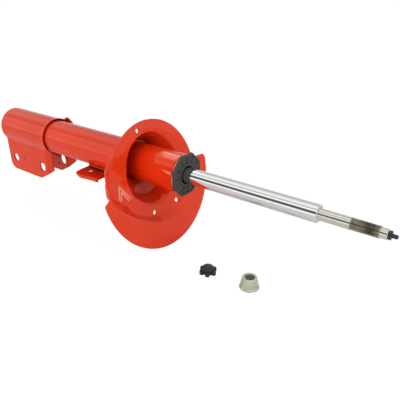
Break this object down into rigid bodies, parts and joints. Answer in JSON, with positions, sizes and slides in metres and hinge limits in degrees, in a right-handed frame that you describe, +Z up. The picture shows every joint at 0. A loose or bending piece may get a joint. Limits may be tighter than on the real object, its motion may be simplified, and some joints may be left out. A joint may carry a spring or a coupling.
{
  "type": "suspension strut assembly",
  "caption": "Twin-tube gas strut with a knuckle bracket, offset spring seat, hose tab, bump cap, chromed rod with a turning damping adjuster, and its loose lock nut and knob.",
  "frame": {"origin": "centre of the base cap's flat outer face, on the strut's axis", "axes": "+X along the strut's axis from the base to the rod end, +Z up with the knuckle bracket's ears pointing along -Z, -Y the side of the near ear"},
  "size_m": [0.6718, 0.2124, 0.1796],
  "materials": {
    "body_paint": "gloss",
    "black_cap": "matte",
    "steel": "machined",
    "sintered": "sintered",
    "spring_steel": "polished",
    "bush": "satin",
    "rubber": "matte",
    "band": "satin",
    "rod_chrome": "polished",
    "brass": "machined",
    "aluminium": "drawn",
    "black_tip": "satin",
    "zinc": "zinc plated",
    "green_nylon": "matte",
    "black_knob": "moulded"
  },
  "bodies": {
    "strut_body": {"strut_tube": "body_paint", "base_cap": "body_paint", "end_ring": "body_paint", "bump_cap": "black_cap", "knuckle_bracket": "body_paint", "bracket_brace": "body_paint", "spring_seat": "body_paint", "hose_bracket": "body_paint", "pressure_cylinder": "steel", "base_valve_body": "sintered", "base_valve_pin": "steel", "base_valve_discs": "spring_steel", "base_check_spring": "spring_steel", "rod_guide": "sintered", "guide_bush": "bush", "gland_oring": "rubber", "oil_seal": "rubber", "seal_washer": "steel"},
    "check_plate": {"base_check_plate": "spring_steel"},
    "band": {"piston_band": "band"},
    "rod": {"piston_rod": "rod_chrome", "piston": "sintered", "compression_discs": "spring_steel", "rebound_discs": "spring_steel", "valve_washers": "steel", "piston_nut": "steel", "rebound_stop": "steel", "rebound_bumper": "rubber"},
    "adjuster": {"spool_valve": "brass", "control_rod": "aluminium", "control_orings": "rubber", "adjuster_tip": "black_tip"},
    "nut": {"lock_nut": "zinc", "nut_insert": "green_nylon"},
    "knob": {"adjuster_knob": "black_knob"}
  },
  "joints": [
    {"name": "rod_stroke", "type": "slide", "parent": "strut_body", "child": "band", "axis": [1, 0, 0], "range_m": [-0.165, 0], "stiffness_N_per_m": 300, "springref_m": 0.5},
    {"name": "rod_turn", "type": "hinge", "parent": "band", "child": "rod", "pos_m": [0.3, 0, 0], "axis": [1, 0, 0], "continuous": true},
    {"name": "adjuster_turn", "type": "hinge", "parent": "rod", "child": "adjuster", "pos_m": [0.66, 0, 0], "axis": [1, 0, 0], "range_deg": [0, 270]},
    {"name": "check_lift", "type": "slide", "parent": "strut_body", "child": "check_plate", "axis": [1, 0, 0], "range_m": [0, 0.0008], "stiffness_N_per_m": 400, "springref_m": -0.002},
    {"name": "nut_lift", "type": "slide", "parent": "strut_body", "child": "nut", "axis": [0, 0, 1], "range_m": [0, 0.08]},
    {"name": "knob_lift", "type": "slide", "parent": "strut_body", "child": "knob", "axis": [0, 0, 1], "range_m": [0, 0.08]}
  ]
}
